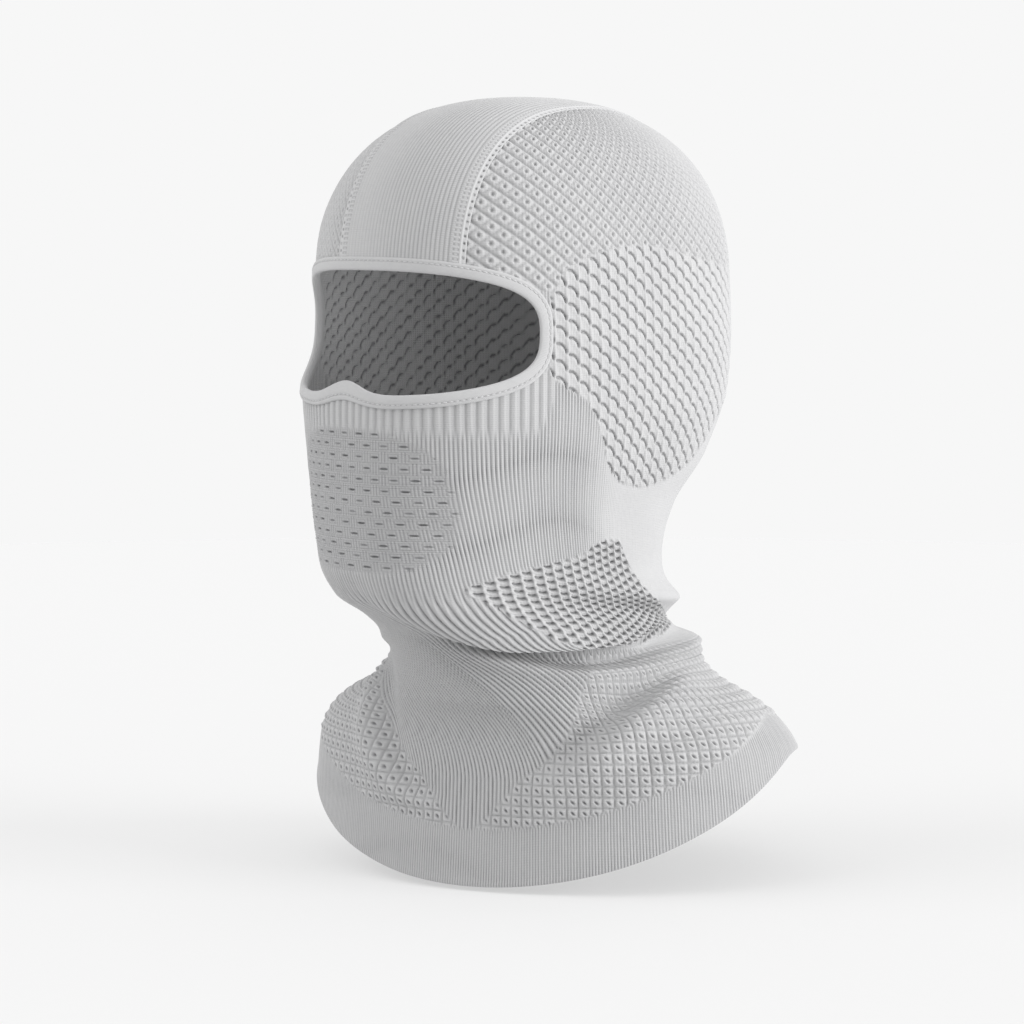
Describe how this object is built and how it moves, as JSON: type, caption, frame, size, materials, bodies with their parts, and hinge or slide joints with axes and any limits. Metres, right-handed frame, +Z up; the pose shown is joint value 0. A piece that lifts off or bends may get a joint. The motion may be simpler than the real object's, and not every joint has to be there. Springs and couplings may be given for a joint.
{
  "type": "balaclava",
  "caption": "Full-head knitted balaclava: wide eye opening with bound edge, slit mouth vent, ear mesh, ribbed crown strip, folded neck and flared bib.",
  "frame": {"origin": "the head seat: the middle of the wearer's head, between the ears at eye height", "axes": "+Z up to the crown, the face looks along -Y, the wearer's left is +X"},
  "size_m": [0.2288, 0.2173, 0.3476],
  "materials": {
    "binding_tape": "folded elastic tape",
    "hem_knit": "fine rib, welted edge",
    "lattice_knit": "raised diamond lattice knit",
    "mesh_knit": "open ladder mesh knit",
    "neck_fold_knit": "lattice knit gathered in folds",
    "plain_knit": "plain jersey",
    "rib_knit": "fine rib knit",
    "sewing_thread": "flatlock and topstitch thread",
    "vent_knit": "knit with small slits"
  },
  "bodies": {
    "head": {"chin_rib_panel": "rib_knit", "crown_rib_strip": "rib_knit", "eye_binding": "binding_tape", "eye_binding_topstitch": "sewing_thread", "left_cheek_rib": "rib_knit", "left_crown_seam": "sewing_thread", "left_ear_mesh": "mesh_knit", "left_neck_fold": "neck_fold_knit", "left_neck_mesh": "mesh_knit", "left_temple_lattice": "lattice_knit", "mouth_vent_panel": "vent_knit", "nape_fold": "neck_fold_knit", "nape_jersey": "plain_knit", "right_cheek_rib": "rib_knit", "right_crown_seam": "sewing_thread", "right_ear_mesh": "mesh_knit", "right_neck_fold": "neck_fold_knit", "right_neck_mesh": "mesh_knit", "right_temple_lattice": "lattice_knit", "throat_rib_panel": "rib_knit", "under_eye_gather": "rib_knit"},
    "bib": {"chest_rib_panel": "rib_knit", "left_bib_lattice": "lattice_knit", "right_bib_lattice": "lattice_knit", "hem_band": "hem_knit"}
  },
  "joints": [
    {"name": "neck_turn", "type": "hinge", "parent": "head", "child": "bib", "pos_m": [0, 0.018, -0.14], "axis": [0, 0, 1], "range_deg": [-53, 17], "stiffness_Nm_per_rad": 0.02, "deforming": ["throat_rib_panel", "left_neck_mesh", "right_neck_mesh", "left_neck_fold", "right_neck_fold", "nape_fold"]}
  ]
}
